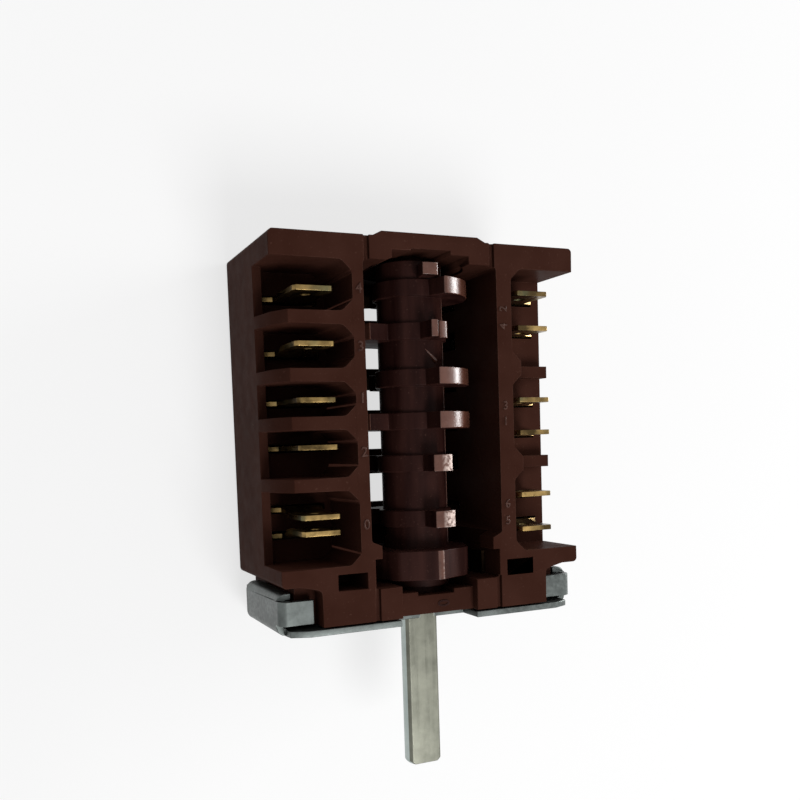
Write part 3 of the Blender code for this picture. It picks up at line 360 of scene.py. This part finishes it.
def zinc_steel(name, pale, dark, edge, roughness, grain, depth):
    """Plated steel: cloudy patches, fine lines and pale rubbed edges."""
    material, tree, shader, place = new_finish(name, roughness, 1.0)
    clouds = ramp(tree, noise(tree, place, 220.0, 6.0, rough=0.65), [(0.35, dark), (0.65, pale)])
    lines = noise(tree, place, 1500.0, 3.0, grain)
    colour = mix(tree, clouds, pale, ramp(tree, lines, [(0.45, grey(0.0)), (0.75, grey(0.6))]))
    colour = mix(tree, colour, edge, edge_mask(tree, radius=0.12 * MM))
    tree.links.new(colour, shader.inputs["Base Color"])
    sheen = ramp(tree, lines, [(0.3, grey(roughness - 0.08)), (0.7, grey(roughness + 0.1))])
    tree.links.new(sheen, shader.inputs["Roughness"])
    bump(tree, shader, lines, depth, 0.6)
    return material


DRAWN_ALONG_Y = (1, 0.05, 1)
plate_steel = zinc_steel(
    "plate_zinc", pale=(0.125, 0.139, 0.134), dark=(0.067, 0.074, 0.071),
    edge=(0.4, 0.43, 0.42), roughness=0.42, grain=(1, 1, 1), depth=0.01 * MM,
)
shaft_steel = zinc_steel(
    "shaft_steel", pale=(0.165, 0.167, 0.137), dark=(0.105, 0.107, 0.087),
    edge=(0.45, 0.46, 0.42), roughness=0.36, grain=DRAWN_ALONG_Y, depth=0.008 * MM,
)
shaft_zinc = zinc_steel(
    "shaft_zinc", pale=(0.4, 0.45, 0.43), dark=(0.3, 0.35, 0.335),
    edge=(0.2, 0.26, 0.24), roughness=0.34, grain=DRAWN_ALONG_Y, depth=0.006 * MM,
)
print("steels:", plate_steel.name, shaft_steel.name, shaft_zinc.name)

# %% [markdown]
# A solid's name says what it is made of, so one function picks the finish for each.

# %% Give each solid its finish


def finish_for(name):
    """The finish of a solid, from its name."""
    if name == "housing":
        return housing_plastic
    if name == "camshaft":
        return drum_plastic
    if name == "mounting_plate":
        return plate_steel
    if name == "drive_shaft":
        return shaft_steel
    if "terminal" in name:
        return brass
    if "spring" in name:
        return shaded_bronze
    return shaded_silver


for name, node in nodes.items():
    for slot in node.material_slots:
        slot.material = finish_for(name)
print("finished", len(nodes), "solids")

# %% [markdown]
# ## Edges that catch the light
#
# No moulded or stamped edge is quite sharp: each one has a small round that shows as a thin line
# of light, and without it a part looks like paper. The CAD solids have sharp edges, so every piece
# that the camera sees well is copied, its loose triangles are merged to whole faces, and its edges
# are bevelled. A bevel that is held back by the shortest edge would vanish on such meshes, so the
# clamp is off, and corners that a bevel pushed past the solid's own box are brought back to it.
# Weighted normals keep the large faces flat. The copy then takes its node's place.

# %% Rounded copies
PLATE_ROUND = 0.14 * MM
SHAFT_ROUND = 0.15 * MM
TERMINAL_ROUND = 0.09 * MM
DRUM_ROUND = 0.14 * MM
HOUSING_ROUND = 0.11 * MM
MERGE = 0.01 * MM
FLAT_WITHIN = 1.0
SHARP_FROM = 28.0
SMOOTH_UP_TO = 35.0


def only_this(piece):
    """Selects one object alone and makes it the active one."""
    bpy.ops.object.select_all(action="DESELECT")
    piece.select_set(True)
    bpy.context.view_layer.objects.active = piece


def rounded_copy(node_name, body, width, wanted=None, segments=2):
    """A copy of a CAD node with whole faces and rounded edges, which stands for the node. Where
    wanted is given, it says for each sharp edge which share of the width its round has."""
    piece = bpy.data.objects.new("rounded_" + node_name, nodes[node_name].data.copy())
    bpy.context.scene.collection.objects.link(piece)
    only_this(piece)
    bpy.ops.object.mode_set(mode="EDIT")
    bpy.ops.mesh.select_all(action="SELECT")
    bpy.ops.mesh.remove_doubles(threshold=MERGE)
    bpy.ops.mesh.dissolve_limited(angle_limit=radians(FLAT_WITHIN))
    bpy.ops.mesh.select_all(action="DESELECT")
    bpy.ops.mesh.select_mode(type="EDGE")
    bpy.ops.mesh.edges_select_sharp(sharpness=radians(SHARP_FROM))
    bpy.ops.object.mode_set(mode="OBJECT")
    mesh = piece.data
    weights = mesh.attributes.new("bevel_weight_edge", "FLOAT", "EDGE")
    for edge in mesh.edges:
        first, last = (mesh.vertices[i].co for i in edge.vertices)
        if edge.select:
            weights.data[edge.index].value = 1.0 if wanted is None else wanted(first, last)
    bevel = piece.modifiers.new("eased_edges", "BEVEL")
    bevel.width = width
    bevel.segments = segments
    bevel.limit_method = "WEIGHT"
    bevel.use_clamp_overlap = False
    bpy.ops.object.modifier_apply(modifier="eased_edges")
    low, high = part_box(node_name)
    for vert in mesh.vertices:
        vert.co = [min(max(c, least), most) for c, least, most in zip(vert.co, low, high)]
    bpy.ops.object.shade_smooth_by_angle(angle=radians(SMOOTH_UP_TO))
    flat = piece.modifiers.new("flat_faces", "WEIGHTED_NORMAL")
    flat.keep_sharp = True
    bpy.ops.object.modifier_apply(modifier="flat_faces")
    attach(piece, body)
    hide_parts(node_name)
    return piece


ROUNDED_DEPTH = 9.6 * MM
SHORTEST_EDGE = 0.45 * MM
RIM_INSIDE = 7.8 * MM
RIMS_FROM = level(12.0)
LOBE_END_FROM = 1.4 * MM
LOBE_END_ROUND = 0.45 * MM
ALONG_AXIS = 0.9


def long_edge(first, last):
    """1 for an edge that isn't tiny, otherwise 0."""
    return float((first - last).length > SHORTEST_EDGE)


def seen_edge(first, last):
    """1 for the housing's edges near its open front that aren't tiny, otherwise 0."""
    return long_edge(first, last) * (min(first.z, last.z) > FRONT - ROUNDED_DEPTH)


def drum_edge(first, last):
    """1 for the worn right end of a lobe's rim, a small share for all other edges."""
    middle = (first + last) / 2
    along_axis = abs(first.y - last.y) > ALONG_AXIS * (first - last).length
    on_rim = Vector((middle.x, middle.z - AXIS_HEIGHT)).length > RIM_INSIDE
    at_end = middle.x > LOBE_END_FROM and middle.y > RIMS_FROM
    return 1.0 if along_axis and on_rim and at_end else DRUM_ROUND / LOBE_END_ROUND


rounded = {}
for name in nodes:
    if "terminal" in name:
        rounded[name] = rounded_copy(name, "body", TERMINAL_ROUND)
rounded["mounting_plate"] = rounded_copy(
    "mounting_plate", "body", PLATE_ROUND, long_edge
)
rounded["drive_shaft"] = rounded_copy("drive_shaft", "drum", SHAFT_ROUND)
rounded["camshaft"] = rounded_copy(
    "camshaft", "drum", LOBE_END_ROUND, drum_edge, segments=4
)
rounded["housing"] = rounded_copy("housing", "body", HOUSING_ROUND, seen_edge)
for name, piece in rounded.items():
    print(piece.name, "faces:", len(piece.data.polygons))

# %% [markdown]
# The shaft's flat was milled after plating and has gone dull, and so have its two edges. The round
# side still has its zinc, so the faces that don't look up get the brighter finish.

# %% Round side of the shaft
FLAT_UP = 0.35
shaft = rounded["drive_shaft"]
shaft.data.materials.append(shaft_zinc)
for face in shaft.data.polygons:
    face.material_index = int(face.normal.z < FLAT_UP)
print("plated faces:", sum(face.material_index for face in shaft.data.polygons))

# %% [markdown]
# ## Burnished cam rims with a painted highlight
#
# The contact springs slide on the rims of the six cams, so these have a polish that the rest of
# the drum doesn't have. They are the faces of the drum that lie at the lobes' full radius and look
# away from the axis, so they are found by their place and given a glossier finish of their own,
# whose lighter colour is partly a painted highlight. The narrow lobes low on the drum, the tooth
# at its top and one crest of the index wheel get the rubbed finish, whose pale specks are partly
# wear and partly a painted highlight.

# %% Rims
CREST_INSIDE = 8.55 * MM
CREST_ACROSS = 3.0 * MM
NARROW_BELOW = level(27.0)
NARROW_ABOVE = level(54.4)
LOOKS_OUT = 0.6
BURNISHED_HIGHLIT, RUBBED_HIGHLIT = 1, 2

drum = rounded["camshaft"]
drum.data.materials.append(highlit_rim_plastic)
drum.data.materials.append(rubbed_highlit_plastic)
rims = 0
for face in drum.data.polygons:
    out = Vector((face.center.x, 0.0, face.center.z - AXIS_HEIGHT))
    on_rim = out.length > RIM_INSIDE and face.center.y > RIMS_FROM
    front_crest = 0.0 < face.center.x < CREST_ACROSS and face.center.z > AXIS_HEIGHT
    on_crest = out.length > CREST_INSIDE and face.center.y <= RIMS_FROM and front_crest
    narrow = face.center.y < NARROW_BELOW or face.center.y > NARROW_ABOVE
    if (on_rim or on_crest) and face.normal.dot(out.normalized()) > LOOKS_OUT:
        # The pale finish is partly wear and partly a painted highlight.
        pale = on_crest or (narrow and face.center.z > AXIS_HEIGHT)
        face.material_index = RUBBED_HIGHLIT if pale else BURNISHED_HIGHLIT
        rims += 1
print("rim faces:", rims)

# %% [markdown]
# ## The drum's parting line and a burr
#
# Where the two halves of the drum's mould met, a thin fin runs along the hub, and between the
# second and the third cam a burr was left, thin at one end and thick at the other. The fin is a
# long block with its outer edges bevelled. The burr starts as a cylinder along X, is cut into
# rings, and each ring is scaled and moved down onto the hub, whose surface falls to the side.
# Both take the lighter rim finish, which paints a highlight along them.

# %% Parting line
HUB_RADIUS = 5.3 * MM
FIN_ANGLE = 57.0
FIN_WIDTH = 0.16 * MM
FIN_RISE = 0.07 * MM
FIN_SUNK = 0.3 * MM
FIN_LEVELS = (10.6, 55.4)
FIN_ROUND = 0.05 * MM


def finish_piece(piece, name, material, body):
    """Names a new piece, gives it its finish and its body, and puts its place into its mesh."""
    only_this(piece)
    piece.name = name
    bpy.ops.object.transform_apply(location=True, rotation=True, scale=True)
    piece.data.materials.clear()
    piece.data.materials.append(material)
    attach(piece, body)


length = (FIN_LEVELS[1] - FIN_LEVELS[0]) * MM
height = FIN_RISE + FIN_SUNK
out = HUB_RADIUS + FIN_RISE - height / 2
bpy.ops.object.select_all(action="DESELECT")
bpy.ops.mesh.primitive_cube_add(
    size=1.0,
    location=(
        out * sin(radians(FIN_ANGLE)),
        level(sum(FIN_LEVELS) / 2),
        AXIS_HEIGHT + out * cos(radians(FIN_ANGLE)),
    ),
    rotation=(0.0, radians(FIN_ANGLE), 0.0),
    scale=(FIN_WIDTH, length, height),
)
fin = bpy.context.object
bpy.ops.object.transform_apply(location=False, rotation=False, scale=True)
bpy.ops.object.mode_set(mode="EDIT")
bpy.ops.mesh.select_all(action="SELECT")
bpy.ops.mesh.bevel(offset=FIN_ROUND, segments=2)
bpy.ops.object.mode_set(mode="OBJECT")
finish_piece(fin, "parting_line", highlit_rim_plastic, "drum")
print("parting line", round(length / MM, 1), "mm long")

# %% Burr
BURR_FROM = Vector((0.1, 42.05))
BURR_TO = Vector((2.35, 39.95))
BURR_RINGS = ((0.0, 0.12), (0.3, 0.34), (0.6, 0.6), (0.82, 1.0), (0.93, 1.0), (1.0, 0.55))
BURR_RADIUS = 0.44 * MM
BURR_LIFT = 0.05 * MM
BURR_SIDES = 14
SAME_RING = 0.01 * MM

way = BURR_TO - BURR_FROM
length = way.length * MM
bpy.ops.object.select_all(action="DESELECT")
bpy.ops.mesh.primitive_cylinder_add(
    vertices=BURR_SIDES, radius=BURR_RADIUS, depth=length, location=(length / 2, 0.0, 0.0),
    rotation=(0.0, radians(90), 0.0),
)
burr = bpy.context.object
bpy.ops.object.transform_apply(location=True, rotation=True, scale=True)
bpy.ops.object.mode_set(mode="EDIT")
for share, _ in BURR_RINGS[1:-1]:
    bpy.ops.mesh.select_all(action="SELECT")
    bpy.ops.mesh.bisect(plane_co=(share * length, 0.0, 0.0), plane_no=(1.0, 0.0, 0.0))
bpy.ops.mesh.select_mode(type="VERT")
for share, size in BURR_RINGS:
    bpy.ops.mesh.select_all(action="DESELECT")
    shape = bmesh.from_edit_mesh(burr.data)
    for vert in shape.verts:
        vert.select = abs(vert.co.x - share * length) < SAME_RING
    shape.select_flush(True)
    bmesh.update_edit_mesh(burr.data)
    across = (BURR_FROM.x + way.x * share) * MM
    fall = HUB_RADIUS - (HUB_RADIUS**2 - across**2) ** 0.5
    centre = (share * length, 0.0, 0.0)
    bpy.ops.transform.resize(value=(1.0, size, size), center_override=centre)
    bpy.ops.transform.translate(value=(0.0, 0.0, BURR_LIFT - fall))
bpy.ops.object.mode_set(mode="OBJECT")
smooth_burr = burr.modifiers.new("soft_shape", "SUBSURF")
smooth_burr.levels = smooth_burr.render_levels = 2
bpy.ops.object.modifier_apply(modifier="soft_shape")
bpy.ops.object.shade_smooth()
burr.location = (BURR_FROM.x * MM, level(BURR_FROM.y), AXIS_HEIGHT + HUB_RADIUS)
burr.rotation_euler = (0.0, 0.0, way.angle_signed(Vector((1.0, 0.0))))
finish_piece(burr, "hub_burr", highlit_rim_plastic, "drum")
print("burr", round(length / MM, 1), "mm long, faces:", len(burr.data.polygons))

# %% [markdown]
# ## Raised numbers
#
# Small numbers stand on the front of both columns, beside the terminals they count, and a zero
# at the foot marks the rest position. A text object becomes a mesh, so it is given its thickness,
# converted, and only then its place is applied.

# %% Raised numbers
NUMBER_RISE = 0.09 * MM
NUMBER_BEVEL = 0.035 * MM
FRONT_STEP = 1.6 * MM


def raised_number(
    name, text, across, at_level, height=1.9, front=FRONT, turn=0.0, squeeze=1.0,
    finish=glinting_number_plastic,
):
    """A raised number whose middle is at a place of the front; sizes in millimetres."""
    bpy.ops.object.select_all(action="DESELECT")
    bpy.ops.object.text_add(location=(across * MM, level(at_level), front))
    number = bpy.context.object
    number.data.body = text
    number.data.size = height * MM
    number.data.extrude = NUMBER_RISE
    number.data.bevel_depth = NUMBER_BEVEL
    number.data.bevel_resolution = 1
    number.data.align_x = "CENTER"
    number.data.align_y = "CENTER"
    number.rotation_euler = (0.0, 0.0, radians(turn))
    number.scale = (squeeze, 1.0, 1.0)
    bpy.ops.object.convert(target="MESH")
    finish_piece(bpy.context.object, name, finish, "body")


LEFT_COLUMN_MIDDLE = -12.2
RIGHT_COLUMN_MIDDLE = 12.6
LEFT_NUMBER_SIZE = 2.1
LEFT_NUMBERS = (("4", 50.4), ("3", 41.8), ("1", 34.1), ("2", 26.0), ("0", 15.0))
RIGHT_NUMBERS = (
    ("2", 48.2, 90), ("4", 45.4, 90), ("3", 32.7, 0), ("1", 30.2, 0), ("6", 16.8, 0), ("5", 14.1, 0)
)
for index, (text, at_level) in enumerate(LEFT_NUMBERS, 1):
    raised_number(
        f"left_number_{index}", text, LEFT_COLUMN_MIDDLE, at_level, LEFT_NUMBER_SIZE
    )
for index, (text, at_level, turn) in enumerate(RIGHT_NUMBERS, 1):
    raised_number(f"right_number_{index}", text, RIGHT_COLUMN_MIDDLE, at_level, turn=turn)
# The rest mark takes the drum's darker plastic, a painted shade on its lower step.
raised_number(
    "rest_mark", "0", 1.35, 1.45, height=2.9, front=FRONT - FRONT_STEP, turn=90, squeeze=0.8,
    finish=drum_plastic,
)
print("raised numbers:", len(LEFT_NUMBERS) + len(RIGHT_NUMBERS) + 1)

# %% [markdown]
# ## Floor, background and light
#
# The photograph has a plain white ground. The floor is pale and takes the shadow, and the Light
# Path node makes it show mostly white to the camera and in reflections, as it does the background.

# %% Floor
FLOOR_HALF = 1.5
FLOOR_SHARE = 0.7
FLOOR_BELOW = 0.05 * MM


def looked_at(tree):
    """A value that is 1 for camera, glossy and transmission rays, and 0 for the light's own."""
    rays = add_node(tree, "ShaderNodeLightPath")
    value = rays.outputs["Is Camera Ray"]
    for kind in ("Is Glossy Ray", "Is Transmission Ray"):
        either = add_node(tree, "ShaderNodeMath", operation="MAXIMUM")
        tree.links.new(value, either.inputs[0])
        tree.links.new(rays.outputs[kind], either.inputs[1])
        value = either.outputs[0]
    return value


def floor_finish():
    """A pale matt floor, blended with plain white wherever it is looked at."""
    material, tree, shader, place = new_finish("pale_floor", 0.9)
    cloud = ramp(tree, noise(tree, place, 6.0), [(0.3, grey(0.86)), (0.7, grey(0.9))])
    tree.links.new(cloud, shader.inputs["Base Color"])
    output = tree.nodes["Material Output"]
    white = add_node(tree, "ShaderNodeEmission", Strength=1.0)
    share = add_node(tree, "ShaderNodeMath", operation="MULTIPLY")
    share.inputs[1].default_value = FLOOR_SHARE
    tree.links.new(looked_at(tree), share.inputs[0])
    blend = add_node(tree, "ShaderNodeMixShader")
    tree.links.new(share.outputs[0], blend.inputs[0])
    tree.links.new(shader.outputs[0], blend.inputs[1])
    tree.links.new(white.outputs[0], blend.inputs[2])
    tree.links.new(blend.outputs[0], output.inputs["Surface"])
    return material


bpy.ops.object.select_all(action="DESELECT")
floor_place = (0, 0, cad_box[0].z - FLOOR_BELOW)
bpy.ops.mesh.primitive_plane_add(size=2 * FLOOR_HALF, location=floor_place)
floor = bpy.context.object
floor.name = "floor"
floor.data.materials.append(floor_finish())
print("floor at", round(floor.location.z / MM, 2), "mm")

# %% [markdown]
# A low window to the right draws the bright lines on the rims of the cams. A softbox above the
# shaft's side lights the front and leaves the pockets' floors dark. The world fills in the rest.

# %% World and lamps
WORLD_LIGHT = 0.3

world = bpy.data.worlds.new("studio")
bpy.context.scene.world = world
world.use_nodes = True
tree = world.node_tree
background = tree.nodes["Background"]
background.inputs["Color"].default_value = (1.0, 1.0, 1.0, 1.0)
background.inputs["Strength"].default_value = WORLD_LIGHT
bright = add_node(tree, "ShaderNodeBackground", Strength=1.0)
bright.inputs["Color"].default_value = (1.0, 1.0, 1.0, 1.0)
blend = add_node(tree, "ShaderNodeMixShader")
tree.links.new(looked_at(tree), blend.inputs[0])
tree.links.new(background.outputs[0], blend.inputs[1])
tree.links.new(bright.outputs[0], blend.inputs[2])
tree.links.new(blend.outputs[0], tree.nodes["World Output"].inputs["Surface"])


def lamp(name, place, aim, size, power):
    """A rectangular lamp that shines from a place to what it aims at."""
    data = bpy.data.lights.new(name, "AREA")
    data.shape = "RECTANGLE"
    data.size, data.size_y = size
    data.energy = power
    light = bpy.data.objects.new(name, data)
    light.location = place
    light.rotation_euler = (Vector(place) - Vector(aim)).to_track_quat("Z", "Y").to_euler()
    bpy.context.scene.collection.objects.link(light)


MIDDLE = (0.0, 0.0, FRONT / 2)
lamp("low_window", (0.59, 0.15, 0.13), MIDDLE, size=(0.3, 0.1), power=3.2)
lamp("softbox", (0.1, -0.42, 0.66), MIDDLE, size=(0.35, 0.35), power=4.2)

# %% View settings
bpy.context.scene.view_settings.view_transform = "Standard"
